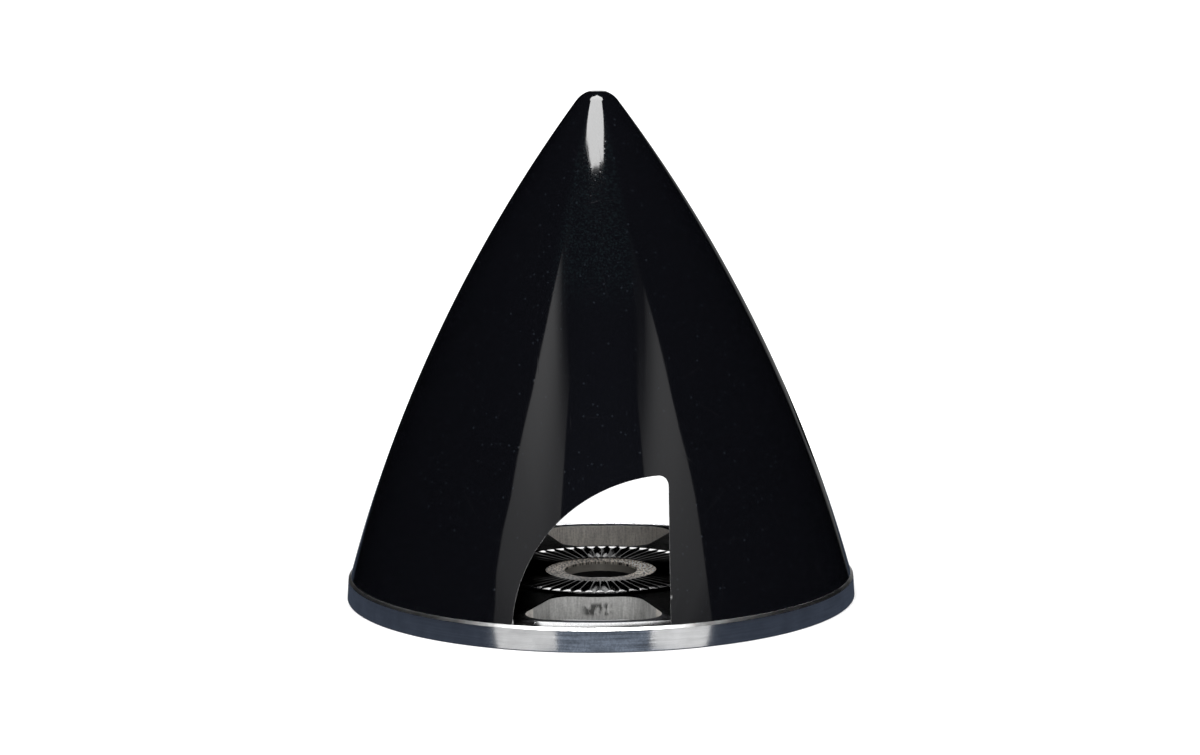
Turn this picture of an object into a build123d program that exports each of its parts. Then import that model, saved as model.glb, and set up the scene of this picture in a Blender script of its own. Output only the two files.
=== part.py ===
# Spinner for a two-blade model aircraft propeller: a moulded cone on a turned aluminium back plate,
# held by two countersunk screws from behind.
# Millimetres. The back face lies on Z = 0, the shaft's axis is Z and the nose points up.
# The two blade cut-outs face -Y and +Y. The cone's screws stand on the X axis.

import os
from math import atan2, cos, degrees, pi, radians, sin, sqrt, tan

from build123d import *

os.makedirs("parts", exist_ok=True)

# Back plate: rim and web
rim_diameter = 57.0
plate_thickness = 2.62
rim_draft = 0.15
rim_chamfer = 0.3

# Windows milled through the web, one behind each blade cut-out
window_hub_gap = 1.4
window_rim_width = 3.85
window_half_angle = 19.3
window_inner_corner = 2.6
window_outer_corner = 2.9

# Hub: a raised drive face with radial serrations around a plain ring and the shaft's bore
bore_radius = 4.05
ring_radius = 6.23
ring_depth = 0.1
hub_radius = 12.0
hub_rise = 0.18
relief_width = 0.8
relief_depth = 0.3
recess_radius = 8.0
recess_depth = 1.6
serration_count = 60
serration_land = 0.14
serration_widest = 0.5
serration_lean = 45.0
serration_depth_share = 0.85
serration_turn = -1.4

# Cone: an ogive shell whose outside is one arc that runs into a small round nose
base_lean = 15.3
ogive_radius = 160.4
nose_radius = 2.9
nose_flat_radius = 0.85
cone_wall = 1.8
inner_nose_radius = 2.0

# Blade cut-outs: an upright edge, a rounded corner and one long arc down to the seat
slot_upright_x = 8.4
slot_upright_lean = 1.2
slot_arc_x = 7.7
slot_arc_drop = 1.0
slot_arc_radius = 16.15
slot_corner = 1.1

# Screws and the bosses that they bite into
screw_rim_inset = 6.5
screw_radius = 1.45
screw_length = 12.0
screw_head_radius = 2.7
screw_head_angle = 90.0
screw_head_sink = 0.1
screw_tip_chamfer = 0.5
cross_reach = 1.5
cross_width = 0.55
cross_depth = 1.0
cross_lean = 8.0
boss_radius = 3.0
boss_height = 13.0
boss_web = 2.2

# Clearances
screw_hole_clearance = 0.2
head_clearance = 0.04
pilot_clearance = 0.05
pilot_extra_depth = 1.0
cut_margin = 1.0

# Derived sizes
rim_radius = rim_diameter / 2
rim_top_radius = rim_radius - rim_draft
seat_z = plate_thickness
seat_outer_radius = rim_top_radius - rim_chamfer
hub_top = plate_thickness + hub_rise
window_inner_radius = hub_radius + window_hub_gap
window_outer_radius = rim_radius - window_rim_width
screw_x = rim_radius - screw_rim_inset

# The ogive's centre lies beyond the axis, below the seat
ogive_x = seat_outer_radius - ogive_radius * cos(radians(base_lean))
ogive_z = seat_z - ogive_radius * sin(radians(base_lean))


def nose_centre(inset, ball):
    """Height of the centre of a ball on the axis that touches the ogive from inside."""
    return ogive_z + sqrt((ogive_radius - inset - ball) ** 2 - ogive_x**2)


def half_section(inset, ball, flat, floor_z):
    """Half section of the cone's outside (inset 0) or of its cavity, from the floor to the nose."""
    reach = ogive_radius - inset
    ball_z = nose_centre(inset, ball)
    touch = degrees(atan2(ball_z - ogive_z, -ogive_x))
    start = degrees(atan2(floor_z - ogive_z, sqrt(reach**2 - (floor_z - ogive_z) ** 2)))
    tip = degrees(atan2(sqrt(ball**2 - flat**2), flat))
    with BuildSketch(Plane.XZ) as section:
        with BuildLine():
            side = CenterArc((ogive_x, ogive_z), reach, start, touch - start)
            nose = CenterArc((0, ball_z), ball, touch, tip - touch)
            Polyline(nose @ 1, (0, (nose @ 1).Y), (0, floor_z), side @ 0)
        make_face()
    return section.sketch


def slot_outline():
    """One blade cut-out seen along Y, drawn in X and Z, open below the seat."""
    arc_z = seat_z - slot_arc_drop
    lean = tan(radians(slot_upright_lean))
    low_x = slot_upright_x + lean * slot_arc_drop
    corner_x = slot_upright_x - lean * (slot_arc_radius - slot_arc_drop)
    meet = degrees(atan2(sqrt(slot_arc_radius**2 - (corner_x - slot_arc_x) ** 2), corner_x - slot_arc_x))
    with BuildSketch(Plane.XZ) as outline:
        with BuildLine():
            edge = CenterArc((slot_arc_x, arc_z), slot_arc_radius, 180, meet - 180)
            Polyline(edge @ 1, (low_x, arc_z), edge @ 0)
        make_face()
        fillet(outline.vertices().sort_by(Axis.Z)[-1], slot_corner)
    return outline.sketch


# Back plate: turned blank, then the hub, the bore and the recess behind it
with BuildPart() as back_plate:
    with BuildSketch(Plane.XZ):
        with BuildLine():
            Polyline(
                (bore_radius, recess_depth),
                (recess_radius, recess_depth),
                (recess_radius, 0),
                (rim_radius, 0),
                (rim_top_radius, seat_z - rim_chamfer),
                (seat_outer_radius, seat_z),
                (hub_radius + relief_width, seat_z),
                (hub_radius + relief_width / 2, seat_z - relief_depth),
                (hub_radius, seat_z - relief_depth),
                (hub_radius, hub_top),
                (ring_radius, hub_top),
                (ring_radius, hub_top - ring_depth),
                (bore_radius, hub_top - ring_depth),
                close=True,
            )
        make_face()
    revolve(axis=Axis.Z)

    # The two windows: sectors of a ring with rounded corners
    half = radians(window_half_angle)
    for middle in (-pi / 2, pi / 2):
        first, last = middle - half, middle + half
        with BuildSketch() as window:
            with BuildLine():
                inner = CenterArc((0, 0), window_inner_radius, degrees(first), 2 * window_half_angle)
                outer = CenterArc((0, 0), window_outer_radius, degrees(first), 2 * window_half_angle)
                Line(inner @ 0, outer @ 0)
                Line(inner @ 1, outer @ 1)
            make_face()
            corners = window.vertices().sort_by(lambda v: v.X**2 + v.Y**2)
            fillet(corners[:2], window_inner_corner)
            corners = window.vertices().sort_by(lambda v: v.X**2 + v.Y**2)
            fillet(corners[-2:], window_outer_corner)
        extrude(amount=plate_thickness, mode=Mode.SUBTRACT)

    # Serrations: leaf-shaped pockets, widest part way out, with narrow lands between them
    serration_start = ring_radius + serration_land / 2
    serration_end = hub_radius + serration_land
    widest_radius = serration_start + serration_widest * (serration_end - serration_start)
    leaf_half_width = widest_radius * sin(pi / serration_count) - serration_land / 2
    leaf_depth = serration_depth_share * leaf_half_width / tan(radians(serration_lean))
    with BuildSketch(Plane.XY.offset(hub_top)):
        with PolarLocations(0, serration_count, start_angle=serration_turn):
            Polygon(
                (serration_start, 0),
                (widest_radius, -leaf_half_width),
                (serration_end, 0),
                (widest_radius, leaf_half_width),
                align=None,
            )
    extrude(amount=-leaf_depth, taper=serration_lean, mode=Mode.SUBTRACT)

    # Screw holes, countersunk from the back
    with Locations(Plane.XY.rotated((180, 0, 0))):
        with Locations((-screw_x, 0), (screw_x, 0)):
            CounterSinkHole(
                radius=screw_radius + screw_hole_clearance,
                counter_sink_radius=screw_head_radius + screw_head_sink + head_clearance,
                depth=plate_thickness + cut_margin,
                counter_sink_angle=screw_head_angle,
            )
back_plate.part.label = "back_plate"
export_step(back_plate.part, "parts/back_plate.step")

# The space inside the cone, less the bosses and the webs that tie them to the wall
with BuildPart() as cavity:
    revolve(half_section(cone_wall, inner_nose_radius, 0, seat_z - cut_margin), axis=Axis.Z)
    with BuildSketch(Plane.XY.offset(seat_z)):
        with Locations((-screw_x, 0), (screw_x, 0)):
            Circle(boss_radius)
        with Locations((-screw_x - boss_radius, 0), (screw_x + boss_radius, 0)):
            Rectangle(2 * boss_radius, boss_web)
    extrude(amount=boss_height, mode=Mode.SUBTRACT)

with BuildPart() as slot:
    extrude(slot_outline(), amount=rim_radius)

# Cone: moulded shell with two blade cut-outs, each the other turned half round
with BuildPart() as spinner_cone:
    revolve(half_section(0, nose_radius, nose_flat_radius, seat_z), axis=Axis.Z)
    add(cavity.part, mode=Mode.SUBTRACT)
    add(slot.part, mode=Mode.SUBTRACT)
    add(slot.part.rotate(Axis.Z, 180), mode=Mode.SUBTRACT)
    with Locations((-screw_x, 0, seat_z), (screw_x, 0, seat_z)):
        Cylinder(
            screw_radius + pilot_clearance,
            screw_length - plate_thickness + pilot_extra_depth,
            align=(Align.CENTER, Align.CENTER, Align.MIN),
            mode=Mode.SUBTRACT,
        )
spinner_cone.part.label = "spinner_cone"
export_step(spinner_cone.part, "parts/spinner_cone.step")

# One countersunk screw with a cross recess, then its twin on the other side
with BuildPart() as screw:
    head_height = (screw_head_radius - screw_radius) / tan(radians(screw_head_angle / 2))
    head_face = screw_head_sink
    tip_z = head_face + screw_length
    with BuildSketch(Plane.XZ):
        with BuildLine():
            Polyline(
                (0, head_face),
                (screw_head_radius, head_face),
                (screw_radius, head_face + head_height),
                (screw_radius, tip_z - screw_tip_chamfer),
                (screw_radius - screw_tip_chamfer, tip_z),
                (0, tip_z),
                close=True,
            )
        make_face()
    revolve(axis=Axis.Z)
    with BuildSketch(Plane.XY.offset(head_face)):
        Rectangle(2 * cross_reach, cross_width)
        Rectangle(cross_width, 2 * cross_reach)
    extrude(amount=cross_depth, taper=cross_lean, mode=Mode.SUBTRACT)

with BuildPart() as cone_screws:
    with Locations((-screw_x, 0, 0), (screw_x, 0, 0)):
        add(screw.part)
cone_screws.part.label = "cone_screws"
export_step(cone_screws.part, "parts/cone_screws.step")

print("overall height", round(nose_centre(0, nose_radius) + sqrt(nose_radius**2 - nose_flat_radius**2), 2))
print("leaf half width", round(leaf_half_width, 3), "depth", round(leaf_depth, 3))
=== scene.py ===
import math

import bmesh
import bpy
import numpy as np
from mathutils import Matrix, Vector


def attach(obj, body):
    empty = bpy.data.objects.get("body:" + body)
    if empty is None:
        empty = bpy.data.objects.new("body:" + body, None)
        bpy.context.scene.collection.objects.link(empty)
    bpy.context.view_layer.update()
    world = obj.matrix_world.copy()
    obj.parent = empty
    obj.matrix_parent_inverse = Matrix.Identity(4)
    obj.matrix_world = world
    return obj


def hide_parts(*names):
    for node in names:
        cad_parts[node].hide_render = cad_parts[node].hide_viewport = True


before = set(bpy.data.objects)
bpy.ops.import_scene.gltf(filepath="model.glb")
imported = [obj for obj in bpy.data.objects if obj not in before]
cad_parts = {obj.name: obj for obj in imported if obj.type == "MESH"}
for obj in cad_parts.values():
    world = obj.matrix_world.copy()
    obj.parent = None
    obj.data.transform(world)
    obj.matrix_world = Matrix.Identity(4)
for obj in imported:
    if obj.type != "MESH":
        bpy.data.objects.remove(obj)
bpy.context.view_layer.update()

mm = 0.001
scene = bpy.context.scene
scene.view_settings.view_transform = "Standard"

# The photograph's camera: 2.2 degrees to the right of the front cut-out, a little above the horizon
photoCamera = {
    "turn": 2.2,
    "pitch": 9.45,
    "roll": 0.46,
    "distance": 427.5,
    "targetHeight": 25.65,
    "lens": 115.0,
    "imageWidth": 1200,
    "targetRight": -0.75,
    "targetUp": 9.12,
}


def addCamera(values):
    turn, pitch, roll = (math.radians(values[k]) for k in ("turn", "pitch", "roll"))
    away = Vector((math.sin(turn) * math.cos(pitch), -math.cos(turn) * math.cos(pitch), math.sin(pitch)))
    ahead = -away
    right = ahead.cross(Vector((0, 0, 1))).normalized()
    up = right.cross(ahead)
    rolledRight = right * math.cos(roll) - up * math.sin(roll)
    rolledUp = right * math.sin(roll) + up * math.cos(roll)
    basis = Matrix((rolledRight, rolledUp, away)).transposed()
    pixel = 36.0 / values["imageWidth"] / values["lens"]
    offset = Vector((values["targetRight"] * pixel, values["targetUp"] * pixel, -1))
    aim = offset.rotation_difference(Vector((0, 0, -1))).to_matrix()
    data = bpy.data.cameras.new("photoCamera")
    data.lens = values["lens"]
    data.sensor_width = 36.0
    data.clip_start, data.clip_end = 0.01, 20.0
    camera = bpy.data.objects.new("photoCamera", data)
    scene.collection.objects.link(camera)
    place = Vector((0, 0, values["targetHeight"] * mm)) + away * values["distance"] * mm
    camera.matrix_world = Matrix.Translation(place) @ (basis @ aim).to_4x4()
    scene.camera = camera


addCamera(photoCamera)
print("camera placed")


# Short ways to write node trees
def newNode(tree, kind, place=(0, 0), **values):
    node = tree.nodes.new(kind)
    node.location = place
    for key, value in values.items():
        setattr(node, key, value)
    return node


def feed(tree, socket, value):
    if value is None:
        return
    if isinstance(value, (int, float, tuple, str)):
        socket.default_value = value
    else:
        tree.links.new(value, socket)


def mathNode(tree, operation, first, second=None, third=None, clamp=False):
    node = newNode(tree, "ShaderNodeMath", operation=operation, use_clamp=clamp)
    for socket, value in zip(node.inputs, (first, second, third)):
        feed(tree, socket, value)
    return node.outputs[0]


def times(tree, *values):
    total = values[0]
    for value in values[1:]:
        total = mathNode(tree, "MULTIPLY", total, value)
    return total


def plus(tree, *values):
    total = values[0]
    for value in values[1:]:
        total = mathNode(tree, "ADD", total, value)
    return total


def scaled(tree, value, low, high):
    return mathNode(tree, "MULTIPLY_ADD", value, high - low, low)


def minus(tree, first, second, clamp=False):
    return mathNode(tree, "SUBTRACT", first, second, clamp=clamp)


def over(tree, first, second, clamp=False):
    return mathNode(tree, "DIVIDE", first, second, clamp=clamp)


def magnitude(tree, value):
    return mathNode(tree, "ABSOLUTE", value)


def smoothStep(tree, value, low, high, toLow=0.0, toHigh=1.0):
    node = newNode(tree, "ShaderNodeMapRange", interpolation_type="SMOOTHSTEP")
    tree.links.new(value, node.inputs["Value"])
    for key, number in (("From Min", low), ("From Max", high), ("To Min", toLow), ("To Max", toHigh)):
        node.inputs[key].default_value = number
    return node.outputs["Result"]


def splitVector(tree, vector):
    node = newNode(tree, "ShaderNodeSeparateXYZ")
    tree.links.new(vector, node.inputs[0])
    return node.outputs[0], node.outputs[1], node.outputs[2]


def joinVector(tree, x, y, z=0.0):
    node = newNode(tree, "ShaderNodeCombineXYZ")
    for socket, value in zip(node.inputs, (x, y, z)):
        feed(tree, socket, value)
    return node.outputs[0]


def mixValue(tree, factor, first, second):
    node = newNode(tree, "ShaderNodeMix", data_type="FLOAT")
    for key, value in (("Factor", factor), ("A", first), ("B", second)):
        feed(tree, node.inputs[key], value)
    return node.outputs["Result"]


def mixColour(tree, factor, first, second, blend="MIX"):
    node = newNode(tree, "ShaderNodeMix", data_type="RGBA", blend_type=blend)
    feed(tree, node.inputs["Factor"], factor)
    for socket, value in ((node.inputs["A"], first), (node.inputs["B"], second)):
        feed(tree, socket, (*value, 1) if isinstance(value, tuple) else value)
    return node.outputs["Result"]


# Studio: two upright panels and one overhead, in a frame turned with the camera.
# Levels are pairs of height and radiance, outlines are metres along the panel and up.
studio = {
    "leftPanel": {
        "facing": -78.0, "away": 0.70, "fade": (0.40, 1.00),
        "outerLevels": (
            (-0.4, 0.80), (0.08, 0.66), (0.20, 0.30), (0.24, 0.42), (0.28, 0.56), (0.38, 0.70), (0.45, 0.82),
            (0.51, 1.02), (0.60, 1.22), (0.70, 1.32), (0.81, 1.24), (0.88, 0.70), (0.93, 0.30), (0.96, 0.04),
            (1.1, 0.02)),
        "innerLevels": (
            (-0.4, 0.80), (0.08, 0.66), (0.20, 0.34), (0.27, 0.50), (0.40, 0.54), (0.56, 0.52), (0.67, 0.60),
            (0.75, 0.58), (0.84, 0.40), (0.94, 0.22), (1.0, 0.10), (1.04, 0.02), (1.1, 0.0)),
        "outline": (
            (1.16, -0.35), (1.142, -0.22), (1.06, 0.80), (1.045, 0.88), (1.03, 1.1), (0.44, 1.1),
            (0.415, 0.85),
            (0.410, 0.70), (0.403, 0.57), (0.385, 0.50), (0.375, 0.44), (0.380, 0.38), (0.358, 0.32),
            (0.358, 0.26), (0.385, 0.225), (0.395, 0.15), (0.424, -0.13), (0.45, -0.35)),
    },
    "rightPanel": {
        "facing": 84.0, "away": 0.70, "fade": (-0.50, -1.15),
        "outerLevels": (
            (-0.4, 0.92), (0.08, 0.72), (0.20, 0.27), (0.24, 0.30), (0.28, 0.52), (0.38, 0.64), (0.45, 0.74),
            (0.51, 0.88), (0.60, 0.95), (0.67, 0.94), (0.72, 0.82), (0.80, 0.46), (0.85, 0.24), (0.88, 0.04),
            (1.1, 0.02)),
        "innerLevels": (
            (-0.4, 0.92), (0.08, 0.72), (0.20, 0.27), (0.31, 0.32), (0.37, 0.52), (0.50, 0.62), (0.60, 0.72),
            (0.70, 0.66), (0.79, 0.50), (0.87, 0.28), (0.94, 0.18), (0.99, 0.08), (1.03, 0.01), (1.1, 0.0)),
        "outline": (
            (-1.36, -0.35), (-1.35, -0.14), (-1.13, 0.80), (-1.11, 0.92), (-1.05, 1.1), (-0.54, 1.1),
            (-0.50, 0.86), (-0.468, 0.74), (-0.456, 0.64), (-0.455, 0.56), (-0.448, 0.50), (-0.432, 0.45),
            (-0.427, 0.38), (-0.441, 0.32), (-0.452, 0.27), (-0.462, 0.223), (-0.516, -0.13), (-0.55, -0.35)),
    },
    "overheadOutline": (
        (-0.15, -0.534), (0.02, -0.539), (0.16, -0.511), (0.19, -0.468), (0.24, -0.426), (0.290, -0.374),
        (0.315, -0.335), (0.34, -0.10), (0.285, 0.07), (0.20, 0.14), (0.0, 0.205), (-0.260, 0.178),
        (-0.40, 0.0),
        (-0.452, -0.19), (-0.447, -0.297), (-0.414, -0.352), (-0.362, -0.408), (-0.290, -0.449),
        (-0.22, -0.497),
        (-0.17, -0.521)),
    "overheadHeight": 1.0,
    "overheadShine": 14.0,
    "overheadPlace": (-0.05, -0.15, 0.98),
    "overheadRadius": 0.41,
    "overheadLight": 4.8,
    "fillPlace": (0.10, -0.95, 0.36),
    "fillRadius": 0.26,
    "fillLight": 7.0,
    "ambient": 0.30,
    "backdropEdge": (0.13, 0.17),
    "backdrop": 1.25,
    "behindFrom": (0.912, 0.930),
    "behindLeft": 0.004,
    "behindRight": (0.12, 0.30),
    "horizon": (-0.043, -0.064, -0.027),
    "frontBelow": (0.165, 0.195, 0.245),
    "sideBelow": (0.045, 0.055, 0.077),
    "frontAbove": (0.028, 0.032, 0.043),
}
cameraTurn = Matrix.Rotation(math.radians(photoCamera["turn"]), 3, "Z")


def addLampMesh(name, corners):
    mesh = bpy.data.meshes.new(name)
    mesh.from_pydata([tuple(cameraTurn @ c) for c in corners], [], [tuple(range(len(corners)))])
    lamp = bpy.data.objects.new(name, mesh)
    scene.collection.objects.link(lamp)
    paint = bpy.data.materials.new(name)
    paint.use_nodes = True
    tree = paint.node_tree
    tree.nodes.clear()
    emit = newNode(tree, "ShaderNodeEmission")
    clear = newNode(tree, "ShaderNodeBsdfTransparent")
    mix = newNode(tree, "ShaderNodeMixShader")
    tree.links.new(newNode(tree, "ShaderNodeLightPath").outputs["Is Camera Ray"], mix.inputs[0])
    tree.links.new(emit.outputs[0], mix.inputs[1])
    tree.links.new(clear.outputs[0], mix.inputs[2])
    tree.links.new(mix.outputs[0], newNode(tree, "ShaderNodeOutputMaterial").inputs["Surface"])
    mesh.materials.append(paint)
    return lamp, tree, emit


def levelRamp(tree, height, stops, low=-0.4, high=1.1, full=1.5):
    ramp = newNode(tree, "ShaderNodeFloatCurve")
    points = ramp.mapping.curves[0].points
    for z, level in stops[1:-1]:
        points.new((z - low) / (high - low), level / full)
    for point, (z, level) in zip(points, stops):
        point.location = ((z - low) / (high - low), level / full)
        point.handle_type = "VECTOR"
    ramp.mapping.update()
    share = over(tree, minus(tree, height, low), high - low)
    feed(tree, ramp.inputs["Value"], share)
    return times(tree, ramp.outputs[0], full)


def addPanel(name, values):
    facing = math.radians(values["facing"])
    outward = Vector((math.sin(facing), -math.cos(facing), 0))
    along = Vector((math.cos(facing), math.sin(facing), 0))
    corners = [outward * values["away"] + along * s + Vector((0, 0, z)) for s, z in values["outline"]]
    panel, tree, emit = addLampMesh(name, corners)
    coords = newNode(tree, "ShaderNodeTexCoord").outputs["Object"]
    sideways = newNode(tree, "ShaderNodeVectorMath", operation="DOT_PRODUCT")
    sideways.inputs[1].default_value = cameraTurn @ along
    tree.links.new(coords, sideways.inputs[0])
    inward = smoothStep(tree, sideways.outputs["Value"], *values["fade"])
    height = splitVector(tree, coords)[2]
    outer, inner = (levelRamp(tree, height, values[key]) for key in ("outerLevels", "innerLevels"))
    tree.links.new(mixValue(tree, inward, outer, inner), emit.inputs["Strength"])


def addOverhead(values):
    height = values["overheadHeight"]
    corners = [Vector((x, y, height)) for x, y in values["overheadOutline"]]
    shine, tree, emit = addLampMesh("overheadShine", corners)
    emit.inputs["Strength"].default_value = values["overheadShine"]
    shine.visible_diffuse = False
    shine.visible_shadow = False


def addSoftLamp(name, place, radius, level):
    data = bpy.data.lights.new(name, "AREA")
    data.shape = "DISK"
    data.size = 2 * radius
    data.energy = level * math.pi * math.pi * radius**2
    lamp = bpy.data.objects.new(name, data)
    scene.collection.objects.link(lamp)
    lamp.location = cameraTurn @ Vector(place)
    lamp.rotation_euler = lamp.location.to_track_quat("Z", "Y").to_euler()
    lamp.visible_glossy = False


addPanel("leftPanel", studio["leftPanel"])
addPanel("rightPanel", studio["rightPanel"])
addOverhead(studio)
addSoftLamp("overheadLight", studio["overheadPlace"], studio["overheadRadius"], studio["overheadLight"])
addSoftLamp("frontFill", studio["fillPlace"], studio["fillRadius"], studio["fillLight"])


def buildWorld(values):
    world = bpy.data.worlds.new("studio")
    scene.world = world
    world.use_nodes = True
    tree = world.node_tree
    tree.nodes.clear()
    coords = newNode(tree, "ShaderNodeTexCoord")
    turn = newNode(tree, "ShaderNodeMapping", vector_type="POINT")
    turn.inputs["Rotation"].default_value = (0, 0, -math.radians(photoCamera["turn"]))
    tree.links.new(coords.outputs["Generated"], turn.inputs["Vector"])
    across, away, height = splitVector(tree, turn.outputs["Vector"])
    behind = smoothStep(tree, away, *values["behindFrom"])
    middle = smoothStep(tree, magnitude(tree, across), *values["backdropEdge"], 1.0, 0.0)
    rightLevel = smoothStep(tree, across, 0.38, 0.10, *values["behindRight"])
    besideLevel = mixValue(tree, smoothStep(tree, across, -0.02, 0.02), values["behindLeft"], rightLevel)
    front = smoothStep(tree, away, -0.55, -0.90)
    upper = mixColour(tree, front, (0, 0, 0), values["frontAbove"])
    beside = joinVector(tree, besideLevel, besideLevel, besideLevel)
    upper = mixColour(tree, behind, upper, mixColour(tree, middle, beside, (values["backdrop"],) * 3))
    lower = mixColour(tree, front, values["sideBelow"], values["frontBelow"])
    first, second, third = values["horizon"]
    limit = plus(tree, times(tree, plus(tree, times(tree, away, third), second), away), first)
    under = smoothStep(tree, minus(tree, height, limit), 0.0, -0.015)
    full = mixColour(tree, under, upper, lower)
    path = newNode(tree, "ShaderNodeLightPath")
    lit = mixColour(tree, path.outputs["Is Diffuse Ray"], full, (values["ambient"],) * 3)
    shown = mixColour(tree, path.outputs["Is Camera Ray"], lit, (1.0, 1.0, 1.0))
    background = newNode(tree, "ShaderNodeBackground")
    tree.links.new(shown, background.inputs["Color"])
    tree.links.new(background.outputs[0], newNode(tree, "ShaderNodeOutputWorld").inputs["Surface"])
    world.cycles.sampling_method = "NONE"


buildWorld(studio)

floorLook = {
    "reach": 3.0,
    "colour": 0.82,
    "lift": (0.25, 1.2),
    "shadowRadius": (0.045, 0.11),
    "opaqueRadius": (0.0278, 0.0283),
}


def addFloor(values):
    mesh = bpy.data.meshes.new("floor")
    reach = values["reach"]
    corners = [(x * reach, y * reach, 0) for x, y in ((-1, -1), (1, -1), (1, 1), (-1, 1))]
    mesh.from_pydata(corners, [], [(0, 1, 2, 3)])
    floor = bpy.data.objects.new("floor", mesh)
    scene.collection.objects.link(floor)
    paint = bpy.data.materials.new("paleFloor")
    paint.use_nodes = True
    tree = paint.node_tree
    body = tree.nodes["Principled BSDF"]
    body.inputs["Base Color"].default_value = (values["colour"],) * 3 + (1,)
    body.inputs["Roughness"].default_value = 0.9
    body.inputs["Specular IOR Level"].default_value = 0.0
    body.inputs["Emission Color"].default_value = (1, 1, 1, 1)
    coords = newNode(tree, "ShaderNodeTexCoord")
    length = newNode(tree, "ShaderNodeVectorMath", operation="LENGTH")
    tree.links.new(coords.outputs["Object"], length.inputs[0])
    white = smoothStep(tree, length.outputs["Value"], *values["shadowRadius"], *values["lift"])
    path = newNode(tree, "ShaderNodeLightPath")
    glow = times(tree, path.outputs["Is Camera Ray"], white)
    tree.links.new(glow, body.inputs["Emission Strength"])
    clear = newNode(tree, "ShaderNodeBsdfTransparent")
    mix = newNode(tree, "ShaderNodeMixShader")
    outside = smoothStep(tree, length.outputs["Value"], *values["opaqueRadius"])
    tree.links.new(times(tree, path.outputs["Is Glossy Ray"], outside), mix.inputs[0])
    tree.links.new(body.outputs[0], mix.inputs[1])
    tree.links.new(clear.outputs[0], mix.inputs[2])
    tree.links.new(mix.outputs[0], tree.nodes["Material Output"].inputs["Surface"])
    mesh.materials.append(paint)


addFloor(floorLook)
print("studio ready")


# Shapes drawn in Python: sections to be turned and tools to be cut with, in millimetres
def arcPoints(centreX, centreY, radius, first, last, count):
    angles = np.radians(np.linspace(first, last, count))
    return np.stack([centreX + radius * np.cos(angles), centreY + radius * np.sin(angles)], 1)


def roundedSection(corners, steps=5):
    points = []
    for i, (x, z, radius) in enumerate(corners):
        here = np.array([x, z])
        if radius == 0:
            points.append(here)
            continue
        before = np.array(corners[i - 1][:2]) - here
        after = np.array(corners[(i + 1) % len(corners)][:2]) - here
        before, after = before / np.linalg.norm(before), after / np.linalg.norm(after)
        half = math.acos(np.clip(before @ after, -1, 1)) / 2
        middle = (before + after) / np.linalg.norm(before + after)
        centre = here + middle * radius / math.sin(half)
        first = here + before * radius / math.tan(half) - centre
        last = here + after * radius / math.tan(half) - centre
        sweep = math.atan2(first[0] * last[1] - first[1] * last[0], first @ last)
        for k in range(steps + 1):
            turn = sweep * k / steps
            points.append(centre + np.array([first[0] * math.cos(turn) - first[1] * math.sin(turn),
                                             first[0] * math.sin(turn) + first[1] * math.cos(turn)]))
    return np.array(points)


def meshObject(name, corners, faces):
    mesh = bpy.data.meshes.new(name)
    mesh.from_pydata([tuple(float(c) * mm for c in corner) for corner in corners], [], faces)
    piece = bpy.data.objects.new(name, mesh)
    scene.collection.objects.link(piece)
    return piece


def sectionObject(name, points):
    return meshObject(name, [(x, 0, z) for x, z in points], [])


def lofted(rings):
    count = len(rings[0])
    corners = [tuple(p) for ring in rings for p in ring]
    faces = [tuple(range(count)), tuple(range(len(corners) - 1, len(corners) - count - 1, -1))]
    for level in range(len(rings) - 1):
        low, high = level * count, (level + 1) * count
        for i in range(count):
            after = (i + 1) % count
            faces.append((low + i, high + i, high + after, low + after))
    return corners, faces


def joinedTool(name, parts):
    corners, faces = [], []
    for partCorners, partFaces in parts:
        faces += [tuple(i + len(corners) for i in face) for face in partFaces]
        corners += partCorners
    tool = meshObject(name, corners, faces)
    shape = bmesh.new()
    shape.from_mesh(tool.data)
    bmesh.ops.recalc_face_normals(shape, faces=shape.faces)
    shape.to_mesh(tool.data)
    shape.free()
    return tool


def pillar(x, y, radius, low, high, count=48):
    ring = arcPoints(x, y, radius, 0, 360, count + 1)[:-1]
    return lofted([[(px, py, z) for px, py in ring] for z in (low, high)])


# Node trees that the pieces share
def treeInput(tree, name, kind, value=None):
    socket = tree.interface.new_socket(name, in_out="INPUT", socket_type=kind)
    if value is not None:
        socket.default_value = value
    return socket


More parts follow.
